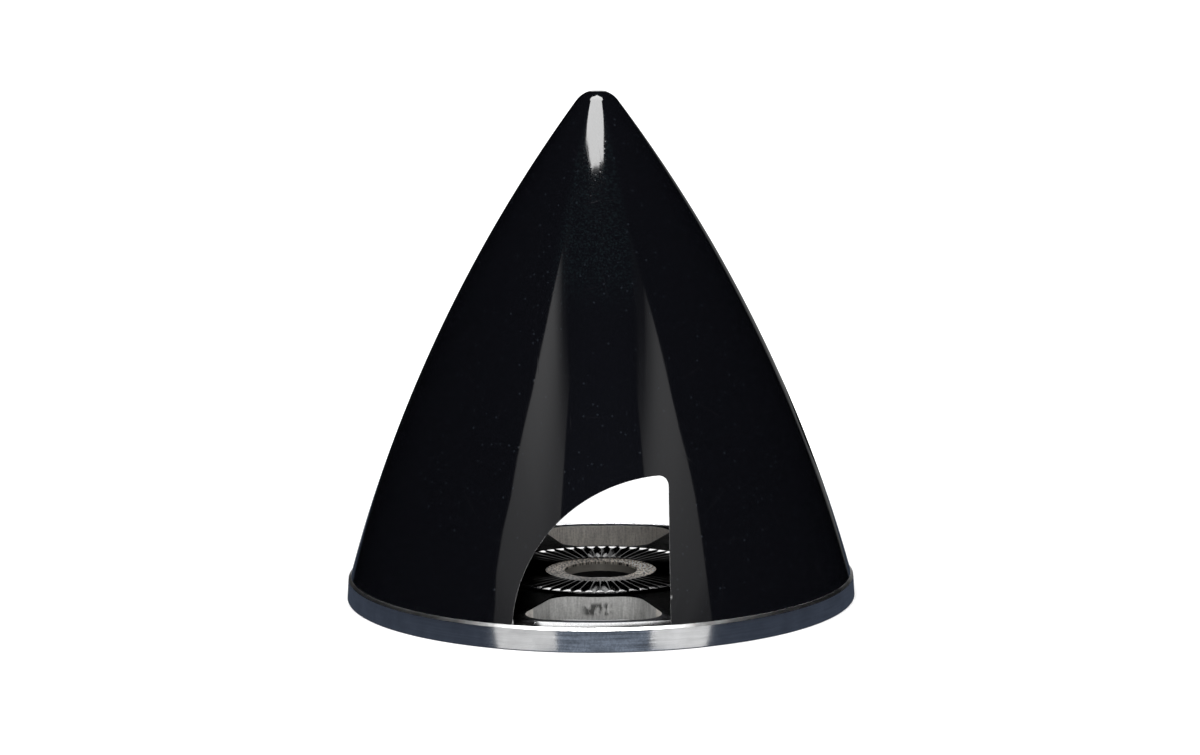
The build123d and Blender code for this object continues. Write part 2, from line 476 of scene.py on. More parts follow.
def buildTurnedSection():
    tree = bpy.data.node_groups.new("turnedSection", "GeometryNodeTree")
    treeInput(tree, "Section", "NodeSocketGeometry")
    treeInput(tree, "Turns", "NodeSocketInt", 240)
    tree.interface.new_socket("Mesh", in_out="OUTPUT", socket_type="NodeSocketGeometry")
    start, end = newNode(tree, "NodeGroupInput", (-1200, 0)), newNode(tree, "NodeGroupOutput", (900, 0))
    section, turns = start.outputs["Section"], start.outputs["Turns"]
    count = newNode(tree, "GeometryNodeAttributeDomainSize", (-1000, 200), component="MESH")
    tree.links.new(section, count.inputs[0])
    points = count.outputs["Point Count"]
    rows = plus(tree, points, 1.0)
    grid = newNode(tree, "GeometryNodeMeshGrid", (-600, 200))
    tree.links.new(plus(tree, turns, 1.0), grid.inputs["Vertices X"])
    tree.links.new(rows, grid.inputs["Vertices Y"])
    index = newNode(tree, "GeometryNodeInputIndex", (-1000, -200)).outputs[0]
    row = mathNode(tree, "MODULO", mathNode(tree, "MODULO", index, rows), points)
    column = mathNode(tree, "FLOOR", over(tree, index, rows))
    sample = newNode(tree, "GeometryNodeSampleIndex", (-400, -100), data_type="FLOAT_VECTOR", domain="POINT")
    tree.links.new(section, sample.inputs["Geometry"])
    place = newNode(tree, "GeometryNodeInputPosition", (-600, -200)).outputs[0]
    tree.links.new(place, sample.inputs["Value"])
    tree.links.new(row, sample.inputs["Index"])
    split = newNode(tree, "ShaderNodeSeparateXYZ", (-200, -100))
    tree.links.new(sample.outputs["Value"], split.inputs[0])
    angle = times(tree, over(tree, column, turns), 2 * math.pi)
    turned = newNode(tree, "ShaderNodeCombineXYZ", (200, -100))
    for k, operation in enumerate(("COSINE", "SINE")):
        part = times(tree, split.outputs["X"], mathNode(tree, operation, angle))
        tree.links.new(part, turned.inputs[k])
    tree.links.new(split.outputs["Z"], turned.inputs[2])
    move = newNode(tree, "GeometryNodeSetPosition", (400, 0))
    tree.links.new(grid.outputs["Mesh"], move.inputs["Geometry"])
    tree.links.new(turned.outputs[0], move.inputs["Position"])
    merge = newNode(tree, "GeometryNodeMergeByDistance", (600, 0))
    merge.inputs["Distance"].default_value = 1e-6
    tree.links.new(move.outputs[0], merge.inputs["Geometry"])
    tree.links.new(merge.outputs[0], end.inputs[0])
    return tree


def buildRingOfCopies():
    tree = bpy.data.node_groups.new("ringOfCopies", "GeometryNodeTree")
    treeInput(tree, "Shape", "NodeSocketGeometry")
    treeInput(tree, "Count", "NodeSocketInt", 12)
    treeInput(tree, "First Angle", "NodeSocketFloat", 0.0)
    tree.interface.new_socket("Mesh", in_out="OUTPUT", socket_type="NodeSocketGeometry")
    start, end = newNode(tree, "NodeGroupInput", (-800, 0)), newNode(tree, "NodeGroupOutput", (600, 0))
    points = newNode(tree, "GeometryNodePoints", (-400, 200))
    tree.links.new(start.outputs["Count"], points.inputs["Count"])
    index = newNode(tree, "GeometryNodeInputIndex", (-800, -200)).outputs[0]
    share = over(tree, index, start.outputs["Count"])
    angle = mathNode(tree, "MULTIPLY_ADD", share, 2 * math.pi, start.outputs["First Angle"])
    turn = newNode(tree, "ShaderNodeCombineXYZ", (-200, -200))
    tree.links.new(angle, turn.inputs[2])
    copies = newNode(tree, "GeometryNodeInstanceOnPoints", (0, 0))
    tree.links.new(points.outputs[0], copies.inputs["Points"])
    tree.links.new(start.outputs["Shape"], copies.inputs["Instance"])
    tree.links.new(turn.outputs[0], copies.inputs["Rotation"])
    real = newNode(tree, "GeometryNodeRealizeInstances", (200, 0))
    tree.links.new(copies.outputs[0], real.inputs[0])
    tree.links.new(real.outputs[0], end.inputs[0])
    return tree


turnedSection = buildTurnedSection()
ringOfCopies = buildRingOfCopies()


def groupNode(tree, group, **links):
    node = newNode(tree, "GeometryNodeGroup", node_tree=group)
    for key, value in links.items():
        feed(tree, node.inputs[key.replace("_", " ")], value)
    return node.outputs[0]


def objectShape(tree, socket):
    node = newNode(tree, "GeometryNodeObjectInfo")
    tree.links.new(socket, node.inputs["Object"])
    return node.outputs["Geometry"]


def cutAway(tree, body, tool):
    node = newNode(tree, "GeometryNodeMeshBoolean", operation="DIFFERENCE", solver="MANIFOLD")
    tree.links.new(body, node.inputs["Mesh 1"])
    tree.links.new(tool, node.inputs["Mesh 2"])
    return node.outputs["Mesh"]


def endTree(tree, shape, material, end):
    real = newNode(tree, "GeometryNodeRealizeInstances", (900, 0))
    paint = newNode(tree, "GeometryNodeSetMaterial", (1100, 0))
    tree.links.new(shape, real.inputs[0])
    tree.links.new(real.outputs[0], paint.inputs["Geometry"])
    tree.links.new(material, paint.inputs["Material"])
    tree.links.new(paint.outputs[0], end.inputs[0])


def newPieceTree(name, inputs):
    tree = bpy.data.node_groups.new(name, "GeometryNodeTree")
    treeInput(tree, "Section", "NodeSocketGeometry")
    for key, kind in inputs:
        treeInput(tree, key, kind)
    treeInput(tree, "Finish", "NodeSocketMaterial")
    tree.interface.new_socket("Mesh", in_out="OUTPUT", socket_type="NodeSocketGeometry")
    return tree, newNode(tree, "NodeGroupInput", (-1200, 0)), newNode(tree, "NodeGroupOutput", (1300, 0))


def pieceFrom(name, section, tree, values, tools):
    modifier = section.modifiers.new(name, "NODES")
    modifier.node_group = tree
    for item in tree.interface.items_tree:
        if item.item_type == "SOCKET" and item.in_out == "INPUT" and item.name in values:
            modifier[item.identifier] = values[item.name]
    depsgraph = bpy.context.evaluated_depsgraph_get()
    mesh = bpy.data.meshes.new_from_object(section.evaluated_get(depsgraph))
    mesh.name = name
    piece = bpy.data.objects.new(name, mesh)
    scene.collection.objects.link(piece)
    section.modifiers.remove(modifier)
    for tool in (section, *tools):
        bpy.data.objects.remove(tool)
    return piece


def reportShape(piece):
    shape = bmesh.new()
    shape.from_mesh(piece.data)
    loose = sum(not edge.is_manifold for edge in shape.edges)
    volume = round(shape.calc_volume() / mm**3)
    print(piece.name, "faces", len(shape.faces), "open edges", loose, "mm3", volume)
    shape.free()


# Nose cone: an ogive shell with two blade cut-outs, and two bosses inside for the screws
noseCone = {
    "seatRadius": 28.05,
    "seatHeight": 2.62,
    "baseLean": 15.3,
    "ogiveRadius": 160.4,
    "noseRadius": 2.9,
    "noseFlatRadius": 0.85,
    "wall": 1.8,
    "innerNoseRadius": 2.0,
    "uprightX": 8.4,
    "uprightLean": 1.2,
    "arcX": 7.7,
    "arcDrop": 1.0,
    "arcRadius": 16.15,
    "corner": 1.1,
    "bossX": 22.0,
    "bossRadius": 3.0,
    "bossHeight": 13.0,
    "bossWeb": 2.2,
    "pilotRadius": 1.5,
    "pilotDepth": 10.38,
    "turns": 300,
    "edgeRound": 0.07,
}


def ogiveCentre(values):
    lean = math.radians(values["baseLean"])
    return (values["seatRadius"] - values["ogiveRadius"] * math.cos(lean),
            values["seatHeight"] - values["ogiveRadius"] * math.sin(lean))


def ogiveSection(values, inset, ball, flat, floor, steps):
    centreX, centreZ = ogiveCentre(values)
    reach = values["ogiveRadius"] - inset
    ballZ = centreZ + math.sqrt((reach - ball) ** 2 - centreX**2)
    touch = math.degrees(math.atan2(ballZ - centreZ, -centreX))
    first = math.degrees(math.asin((floor - centreZ) / reach))
    tip = math.degrees(math.acos(flat / ball))
    side = arcPoints(centreX, centreZ, reach, first, touch, steps)
    nose = arcPoints(0, ballZ, ball, touch, tip, 12)[1:]
    ends = [[0, nose[-1, 1]], [0, floor]] if flat else [[0, floor]]
    return np.concatenate([side, nose, ends])


def cutOutOutline(values):
    arcZ = values["seatHeight"] - values["arcDrop"]
    lean = math.tan(math.radians(values["uprightLean"]))
    reach, round_ = values["arcRadius"], values["corner"]
    lowX = values["uprightX"] + lean * values["arcDrop"]
    meetX = values["uprightX"] - lean * (reach - values["arcDrop"]) - values["arcX"]
    meet = math.degrees(math.acos(meetX / reach))

    def gap(angle):
        x = values["arcX"] + (reach - round_) * math.cos(math.radians(angle))
        z = arcZ + (reach - round_) * math.sin(math.radians(angle))
        uprightX = values["uprightX"] - lean * (z - values["seatHeight"])
        return (uprightX - x) * math.cos(math.atan(lean)) - round_

    low, high = meet - 2, meet + 12
    for _ in range(50):
        middle = (low + high) / 2
        low, high = (middle, high) if gap(middle) < 0 else (low, middle)
    centre = (values["arcX"] + (reach - round_) * math.cos(math.radians(low)),
              arcZ + (reach - round_) * math.sin(math.radians(low)))
    curve = arcPoints(values["arcX"], arcZ, reach, 180, low, 130)
    corner = arcPoints(*centre, round_, low, values["uprightLean"], 12)[1:]
    return np.concatenate([curve, corner, [[lowX, arcZ]]])


def buildConeTree():
    tree, start, end = newPieceTree("noseConeShape", (
        ("Turns", "NodeSocketInt"), ("Cavity Section", "NodeSocketObject"), ("Bosses", "NodeSocketObject"),
        ("Cut-outs", "NodeSocketObject")))
    body = groupNode(tree, turnedSection, Section=start.outputs["Section"], Turns=start.outputs["Turns"])
    cavity = groupNode(tree, turnedSection, Section=objectShape(tree, start.outputs["Cavity Section"]),
                       Turns=start.outputs["Turns"])
    cavity = cutAway(tree, cavity, objectShape(tree, start.outputs["Bosses"]))
    body = cutAway(tree, body, cavity)
    body = cutAway(tree, body, objectShape(tree, start.outputs["Cut-outs"]))
    endTree(tree, body, start.outputs["Finish"], end)
    return tree


def roundCutEdges(piece, width, slack=0.03):
    shape = bmesh.new()
    shape.from_mesh(piece.data)
    bmesh.ops.remove_doubles(shape, verts=shape.verts, dist=slack * mm)
    bmesh.ops.dissolve_degenerate(shape, edges=shape.edges, dist=slack * mm / 10)
    shape.normal_update()
    sharp = [e for e in shape.edges if e.is_manifold and e.calc_face_angle(0) > math.radians(40)]
    bmesh.ops.bevel(shape, geom=sharp, offset=width * mm, segments=2, profile=0.5, affect="EDGES",
                    clamp_overlap=True)
    bmesh.ops.remove_doubles(shape, verts=shape.verts, dist=0.002 * mm)
    stray = {e.link_faces[0] for e in shape.edges if len(e.link_faces) == 1}
    bmesh.ops.delete(shape, geom=list(stray), context="FACES")
    shape.to_mesh(piece.data)
    shape.free()


def setTurnedNormals(piece, surfaces, spread=60.0, reach=0.006):
    mesh = piece.data
    mesh.shade_smooth()
    mesh.set_sharp_from_angle(angle=math.radians(38))
    count = len(mesh.loops)
    normals = np.empty(count * 3, np.float32)
    mesh.corner_normals.foreach_get("vector", normals)
    normals = normals.reshape(-1, 3)
    corners = np.empty(len(mesh.vertices) * 3, np.float32)
    mesh.vertices.foreach_get("co", corners)
    corners = corners.reshape(-1, 3).astype(float) / mm
    owner = np.empty(count, np.int32)
    mesh.loops.foreach_get("vertex_index", owner)
    faceNormals = np.empty(len(mesh.polygons) * 3, np.float32)
    mesh.polygons.foreach_get("normal", faceNormals)
    faceNormals = faceNormals.reshape(-1, 3)
    sides = np.empty(len(mesh.polygons), np.int32)
    mesh.polygons.foreach_get("loop_total", sides)
    faceOf = np.repeat(np.arange(len(sides)), sides)
    place = corners[owner]
    radius = np.maximum(np.hypot(place[:, 0], place[:, 1]), 1e-9)
    for centreX, centreZ, size, sign in surfaces:
        out = np.stack([radius - centreX, place[:, 2] - centreZ], 1)
        length = np.hypot(out[:, 0], out[:, 1])
        out = out / length[:, None] * sign
        want = np.stack([out[:, 0] * place[:, 0] / radius, out[:, 0] * place[:, 1] / radius, out[:, 1]], 1)
        along = np.sum(want * faceNormals[faceOf], 1)
        on = (np.abs(length - size) < reach) & (along > math.cos(math.radians(spread)))
        normals[on] = want[on]
    mesh.normals_split_custom_set([tuple(n) for n in normals])


def buildNoseCone(values, finish):
    seat = values["seatHeight"]
    outer = sectionObject("noseConeSection", ogiveSection(
        values, 0, values["noseRadius"], values["noseFlatRadius"], seat, 110))
    cavity = sectionObject("cavitySection", ogiveSection(
        values, values["wall"], values["innerNoseRadius"], 0, seat - 1, 70))
    outline = cutOutOutline(values)
    tools = []
    for way in (1, -1):
        tools.append(lofted([[(way * x, way * y, z) for x, z in outline] for y in (-30, 0)]))
        pilotTop = seat + values["pilotDepth"]
        tools.append(pillar(way * values["bossX"], 0, values["pilotRadius"], seat - 1, pilotTop))
    cutOuts = joinedTool("cutOutTool", tools)
    bosses, halfWeb = [], values["bossWeb"] / 2
    for way in (1, -1):
        touch = math.degrees(math.asin(halfWeb / values["bossRadius"]))
        ring = [tuple(p) for p in arcPoints(values["bossX"], 0, values["bossRadius"], touch, 360 - touch, 56)]
        ring += [(values["bossX"] + 9, -halfWeb), (values["bossX"] + 9, halfWeb)]
        heights = (seat - 2, seat + values["bossHeight"])
        bosses.append(lofted([[(way * x, way * y, z) for x, y in ring] for z in heights]))
    bossTool = joinedTool("bossTool", bosses)
    piece = pieceFrom("noseCone", outer, buildConeTree(), {
        "Turns": values["turns"], "Cavity Section": cavity, "Bosses": bossTool, "Cut-outs": cutOuts,
        "Finish": finish}, (cavity, bossTool, cutOuts))
    roundCutEdges(piece, values["edgeRound"])
    centreX, centreZ = ogiveCentre(values)
    reach = values["ogiveRadius"]
    setTurnedNormals(piece, (
        (centreX, centreZ, reach, 1), (centreX, centreZ, reach - values["wall"], -1)))
    reportShape(piece)
    return piece


# Back plate: turned rim, web and hub, two milled windows, countersunk holes and a ring of serrations
backPlate = {
    "turns": 300,
    "section": ((4.05, 1.6, 0.1), (8.0, 1.6, 0.12), (8.0, 0.0, 0.15), (28.5, 0.0, 0.12), (28.35, 2.32, 0.08),
                (28.05, 2.62, 0.15), (25.82, 2.62, 0.03), (25.78, 2.57, 0.02), (25.70, 2.57, 0.02),
                (25.66, 2.62, 0.03), (12.8, 2.62, 0.05), (12.4, 2.32, 0.08), (12.0, 2.32, 0.03),
                (12.0, 2.8, 0.07), (6.23, 2.8, 0.03), (6.23, 2.7, 0.03), (4.05, 2.7, 0.09)),
    "thickness": 2.62,
    "windowInner": 13.4,
    "windowOuter": 24.65,
    "windowHalfAngle": 19.3,
    "windowInnerCorner": 2.6,
    "windowOuterCorner": 2.9,
    "windowEdge": 0.10,
    "screwX": 22.0,
    "screwHole": 1.65,
    "countersink": 2.84,
    "hubTop": 2.8,
    "nick": {"turn": -13.5, "from": 25.95, "to": 27.55, "width": 0.26, "depth": 0.16},
    "serrations": 60,
    "serrationTurn": -1.4,
    "serrationStart": 6.14,
    "serrationEnd": 12.50,
    "serrationLand": 0.07,
    "serrationSteep": 1.05,
    "serrationPlan": (
        (0.0, 0.0), (0.03, 0.62), (0.09, 0.88), (0.20, 0.98), (0.45, 1.0), (0.62, 0.98), (0.73, 0.86),
        (0.80, 0.64),
        (0.86, 0.40), (0.91, 0.26), (0.96, 0.18), (1.0, 0.0)),
}


def windowOutline(values):
    half = values["windowHalfAngle"]
    outer, outerCorner = values["windowOuter"], values["windowOuterCorner"]
    inner, innerCorner = values["windowInner"], values["windowInnerCorner"]
    outerTurn = half - math.degrees(math.asin(outerCorner / (outer - outerCorner)))
    innerTurn = half - math.degrees(math.asin(innerCorner / (inner + innerCorner)))

    def polar(radius, angle):
        return radius * math.cos(math.radians(angle)), radius * math.sin(math.radians(angle))

    side = [arcPoints(0, 0, outer, 0, outerTurn, 14)[1:]]
    side.append(arcPoints(*polar(outer - outerCorner, outerTurn), outerCorner, outerTurn, half + 90, 18)[1:])
    centre = polar(inner + innerCorner, innerTurn)
    side.append(arcPoints(*centre, innerCorner, half + 90, innerTurn + 180, 18))
    side.append(arcPoints(0, 0, inner, innerTurn, 0, 10)[1:-1])
    side = np.concatenate(side)
    other = side[::-1] * np.array([1, -1])
    return np.concatenate([[[outer, 0]], side, [[inner, 0]], other])


def grown(outline, distance):
    ahead, behind = np.roll(outline, -1, 0), np.roll(outline, 1, 0)
    along = ahead - behind
    outward = np.stack([along[:, 1], -along[:, 0]], 1) / np.linalg.norm(along, axis=1)[:, None]
    return outline + outward * distance


def windowTool(values, middle):
    outline, top, edge = windowOutline(values), values["thickness"], values["windowEdge"]
    levels = [(-0.3, edge + 0.3), (0.0, edge), (edge * 0.35, edge * 0.28), (edge, 0.0)]
    levels += [(top - z, spread) for z, spread in levels[::-1]]
    cosine, sine = math.cos(math.radians(middle)), math.sin(math.radians(middle))
    return lofted([[(x * cosine - y * sine, x * sine + y * cosine, z) for x, y in grown(outline, spread)]
                   for z, spread in levels])


def screwHoleTool(values, way):
    x, top = way * values["screwX"], values["thickness"]
    sink = values["countersink"] - values["screwHole"]
    levels = ((-0.5, values["countersink"] + 0.5), (sink, values["screwHole"]), (top, values["screwHole"]),
              (top + 0.5, values["screwHole"]))
    rings = []
    for z, radius in levels:
        rings.append([(px, py, z) for px, py in arcPoints(x, 0, radius, 0, 360, 65)[:-1]])
    return lofted(rings)


def serrationTool(values):
    start, reach = values["serrationStart"], values["serrationEnd"] - values["serrationStart"]
    top = values["hubTop"]
    outline, keel = [], []
    for share, width in values["serrationPlan"]:
        radius = start + share * reach
        half = (radius * math.sin(math.pi / values["serrations"]) - values["serrationLand"] / 2) * width
        outline.append((radius, half))
        keel.append((radius, 0, top - half * values["serrationSteep"]))
    count = len(outline)
    up = 0.3
    corners = [(x, -y, top) for x, y in outline] + [(x, y, top) for x, y in outline[1:-1]] + keel[1:-1]
    left = list(range(count))
    right = [0] + list(range(count, 2 * count - 2)) + [count - 1]
    low = [0] + list(range(2 * count - 2, 3 * count - 4)) + [count - 1]
    faces = []
    for side, flip in ((left, False), (right, True)):
        for i in range(count - 1):
            face = [side[i], side[i + 1], low[i + 1], low[i]]
            face = [v for k, v in enumerate(face) if v not in face[:k]]
            if len(face) > 2:
                faces.append(tuple(face[::-1] if flip else face))
    rim = left + right[-2:0:-1]
    raised = {v: len(corners) + k for k, v in enumerate(rim)}
    corners += [(corners[v][0], corners[v][1], top + up) for v in rim]
    for here, after in zip(rim, rim[1:] + rim[:1]):
        faces.append((here, after, raised[after], raised[here]))
    faces.append(tuple(raised[v] for v in rim))
    return joinedTool("serrationTool", [(corners, faces)])


def nickTool(values):
    nick, top = values["nick"], values["thickness"]
    turn = math.radians(nick["turn"] - 90)
    rings = []
    for radius, share in ((nick["from"], 0.5), (nick["from"] + 0.15, 1.0), (nick["to"], 1.0)):
        half, low = nick["width"] / 2 * share, nick["depth"] * share
        ring = ((-half * 3, 2 * low), (half * 3, 2 * low), (0, -low))
        cosine, sine = math.cos(turn), math.sin(turn)
        rings.append([(radius * cosine - s * sine, radius * sine + s * cosine, top + z) for s, z in ring])
    return lofted(rings)


def buildPlateTree():
    tree, start, end = newPieceTree("backPlateShape", (
        ("Turns", "NodeSocketInt"), ("Openings", "NodeSocketObject"), ("Serration", "NodeSocketObject"),
        ("Serrations", "NodeSocketInt"), ("Serration Turn", "NodeSocketFloat")))
    body = groupNode(tree, turnedSection, Section=start.outputs["Section"], Turns=start.outputs["Turns"])
    body = cutAway(tree, body, objectShape(tree, start.outputs["Openings"]))
    ring = groupNode(tree, ringOfCopies, Shape=objectShape(tree, start.outputs["Serration"]),
                     Count=start.outputs["Serrations"], First_Angle=start.outputs["Serration Turn"])
    body = cutAway(tree, body, ring)
    endTree(tree, body, start.outputs["Finish"], end)
    return tree


def buildBackPlate(values, finish):
    section = sectionObject("backPlateSection", roundedSection(values["section"]))
    openings = joinedTool("openingTool", [windowTool(values, -90), windowTool(values, 90),
                                          screwHoleTool(values, 1), screwHoleTool(values, -1),
                                          nickTool(values)])
    serration = serrationTool(values)
    piece = pieceFrom("backPlate", section, buildPlateTree(), {
        "Turns": values["turns"], "Openings": openings, "Serration": serration,
        "Serrations": values["serrations"], "Serration Turn": math.radians(values["serrationTurn"]),
        "Finish": finish}, (openings, serration))
    piece.data.shade_smooth()
    piece.data.set_sharp_from_angle(angle=math.radians(35))
    reportShape(piece)
    return piece


# Screws: countersunk head with a cross recess, and a rolled thread
coneScrews = {
    "places": (-22.0, 22.0),
    "headFace": 0.1,
    "headRadius": 2.7,
    "shankRadius": 1.28,
    "length": 12.0,
    "threadStart": 2.0,
    "threadEnd": 11.6,
    "threadPitch": 0.5,
    "threadHeight": 0.20,
    "crossReach": 1.5,
    "crossWidth": 0.55,
    "crossDepth": 1.0,
    "crossLean": 8.0,
    "turns": 48,
}


def buildScrewTree():
    tree, start, end = newPieceTree("coneScrewShape", (
        ("Turns", "NodeSocketInt"), ("Cross", "NodeSocketObject"), ("Places", "NodeSocketObject"),
        ("Pitch", "NodeSocketFloat"), ("Thread Height", "NodeSocketFloat"),
        ("Thread Start", "NodeSocketFloat"), ("Thread End", "NodeSocketFloat")))
    body = groupNode(tree, turnedSection, Section=start.outputs["Section"], Turns=start.outputs["Turns"])
    place = newNode(tree, "GeometryNodeInputPosition").outputs[0]
    split = newNode(tree, "ShaderNodeSeparateXYZ")
    tree.links.new(place, split.inputs[0])
    pitch, height = start.outputs["Pitch"], split.outputs["Z"]
    angle = mathNode(tree, "ARCTAN2", split.outputs["Y"], split.outputs["X"])
    angle = over(tree, angle, 2 * math.pi)
    phase = mathNode(tree, "FRACT", minus(tree, over(tree, height, pitch), angle))
    ridge = mathNode(tree, "PINGPONG", times(tree, phase, 2.0), 1.0)
    past = minus(tree, height, start.outputs["Thread Start"])
    left = minus(tree, start.outputs["Thread End"], height)
    fade = times(tree, over(tree, past, pitch, clamp=True),
                    over(tree, left, pitch, clamp=True))
    lift = times(tree, times(tree, ridge, fade), start.outputs["Thread Height"])
    flat = newNode(tree, "ShaderNodeCombineXYZ")
    tree.links.new(split.outputs["X"], flat.inputs[0])
    tree.links.new(split.outputs["Y"], flat.inputs[1])
    outward = newNode(tree, "ShaderNodeVectorMath", operation="NORMALIZE")
    tree.links.new(flat.outputs[0], outward.inputs[0])
    offset = newNode(tree, "ShaderNodeVectorMath", operation="SCALE")
    tree.links.new(outward.outputs[0], offset.inputs[0])
    tree.links.new(lift, offset.inputs["Scale"])
    move = newNode(tree, "GeometryNodeSetPosition")
    tree.links.new(body, move.inputs["Geometry"])
    tree.links.new(offset.outputs[0], move.inputs["Offset"])
    body = cutAway(tree, move.outputs[0], objectShape(tree, start.outputs["Cross"]))
    copies = newNode(tree, "GeometryNodeInstanceOnPoints")
    tree.links.new(objectShape(tree, start.outputs["Places"]), copies.inputs["Points"])
    tree.links.new(body, copies.inputs["Instance"])
    endTree(tree, copies.outputs[0], start.outputs["Finish"], end)
    return tree


def buildConeScrews(values, finish):
    face, head, shank = values["headFace"], values["headRadius"], values["shankRadius"]
    tip = face + values["length"]
    neck = face + 0.12 + head - shank
    rows = int((tip - 0.5 - neck) / (values["threadPitch"] / 8))
    points = [(0, face), (head - 0.05, face), (head, face + 0.05), (head, face + 0.12), (shank, neck)]
    points += [(shank, neck + (tip - 0.5 - neck) * k / rows) for k in range(1, rows + 1)]
    points += [(shank - 0.45, tip), (0, tip)]
    section = sectionObject("screwSection", points[::-1])
    spread = values["crossDepth"] * math.tan(math.radians(values["crossLean"]))
    rings = []
    for z, shrink in ((face - 0.3, -0.3 * spread), (face + values["crossDepth"], spread)):
        a, b = values["crossReach"] - shrink, values["crossWidth"] / 2 - shrink / 2
        plan = ((a, -b), (a, b), (b, b), (b, a), (-b, a), (-b, b))
        rings.append([(x, y, z) for x, y in plan] + [(-x, -y, z) for x, y in plan])
    cross = joinedTool("crossTool", [lofted(rings)])
    places = meshObject("screwPlaces", [(x, 0, 0) for x in values["places"]], [])
    piece = pieceFrom("coneScrews", section, buildScrewTree(), {
        "Turns": values["turns"], "Cross": cross, "Places": places, "Pitch": values["threadPitch"] * mm,
        "Thread Height": values["threadHeight"] * mm, "Thread Start": values["threadStart"] * mm,
        "Thread End": values["threadEnd"] * mm, "Finish": finish}, (cross, places))
    piece.data.shade_smooth()
    piece.data.set_sharp_from_angle(angle=math.radians(35))
    reportShape(piece)
    return piece


# Shader groups that the materials share: grain, turned lines, hairlines and specks
def shaderGroup(name, inputs):
    tree = bpy.data.node_groups.new(name, "ShaderNodeTree")
    for key, kind, value in inputs:
        socket = tree.interface.new_socket(key, in_out="INPUT", socket_type=kind)
        if value is not None:
            socket.default_value = value
    tree.interface.new_socket("Value", in_out="OUTPUT", socket_type="NodeSocketFloat")
    return tree, newNode(tree, "NodeGroupInput", (-900, 0)), newNode(tree, "NodeGroupOutput", (900, 0))


def buildGrain():
    tree, start, end = shaderGroup("grain", (
        ("Place", "NodeSocketVector", None), ("Scale", "NodeSocketFloat", 1000.0),
        ("Detail", "NodeSocketFloat", 2.0), ("Seed", "NodeSocketFloat", 0.0),
        ("Low", "NodeSocketFloat", 0.3), ("High", "NodeSocketFloat", 0.7)))
    noise = newNode(tree, "ShaderNodeTexNoise", noise_dimensions="4D")
    for key, name in (("Vector", "Place"), ("Scale", "Scale"), ("Detail", "Detail"), ("W", "Seed")):
        tree.links.new(start.outputs[name], noise.inputs[key])
    spread = newNode(tree, "ShaderNodeMapRange")
    tree.links.new(noise.outputs[0], spread.inputs["Value"])
    tree.links.new(start.outputs["Low"], spread.inputs["From Min"])
    tree.links.new(start.outputs["High"], spread.inputs["From Max"])
    tree.links.new(spread.outputs[0], end.inputs[0])
    return tree


def buildTurnedLines():
    tree, start, end = shaderGroup("turnedLines", (
        ("Across", "NodeSocketFloat", 0.0), ("Around", "NodeSocketFloat", 0.0),
        ("Pitch", "NodeSocketFloat", 0.0002), ("Seed", "NodeSocketFloat", 0.0)))
    total = None
    for share, weight, run in ((1.0, 0.5, 1.5), (3.1, 0.3, 0.6), (0.23, 0.2, 3.0)):
        rate = over(tree, share, start.outputs["Pitch"])
        place = joinVector(tree, times(tree, start.outputs["Across"], rate),
                           times(tree, start.outputs["Around"], run), start.outputs["Seed"])
        noise = newNode(tree, "ShaderNodeTexNoise")
        noise.inputs["Scale"].default_value = 1.0
        noise.inputs["Detail"].default_value = 1.0
        tree.links.new(place, noise.inputs["Vector"])
        part = times(tree, noise.outputs[0], weight)
        total = part if total is None else plus(tree, total, part)
    tree.links.new(total, end.inputs[0])
    return tree


def buildHairlines():
    tree, start, end = shaderGroup("hairlines", (
        ("Place", "NodeSocketVector", None), ("Cell", "NodeSocketFloat", 0.006),
        ("Length", "NodeSocketFloat", 0.004), ("Width", "NodeSocketFloat", 0.00003),
        ("Share", "NodeSocketFloat", 0.5), ("Bend", "NodeSocketFloat", 15.0)))
    cells = newNode(tree, "ShaderNodeTexVoronoi", voronoi_dimensions="2D")
    tree.links.new(start.outputs["Place"], cells.inputs["Vector"])
    tree.links.new(over(tree, 1.0, start.outputs["Cell"]), cells.inputs["Scale"])
    chance = newNode(tree, "ShaderNodeSeparateColor")
    tree.links.new(cells.outputs["Color"], chance.inputs[0])
    local = newNode(tree, "ShaderNodeVectorMath", operation="SUBTRACT")
    tree.links.new(start.outputs["Place"], local.inputs[0])
    tree.links.new(cells.outputs["Position"], local.inputs[1])
    turn = newNode(tree, "ShaderNodeVectorRotate", rotation_type="Z_AXIS")
    tree.links.new(local.outputs[0], turn.inputs["Vector"])
    tree.links.new(times(tree, chance.outputs[0], math.pi), turn.inputs["Angle"])
    along, across, _ = splitVector(tree, turn.outputs[0])
    bent = plus(tree, across, times(tree, times(tree, along, along), start.outputs["Bend"]))
    thin = minus(tree, 1.0, over(tree, magnitude(tree, bent), start.outputs["Width"]), clamp=True)
    reach = times(tree, start.outputs["Length"], chance.outputs[2])
    ends = minus(tree, 1.0, over(tree, magnitude(tree, along), reach), clamp=True)
    chosen = mathNode(tree, "LESS_THAN", chance.outputs[1], start.outputs["Share"])
    tree.links.new(times(tree, times(tree, thin, ends), chosen), end.inputs[0])
    return tree


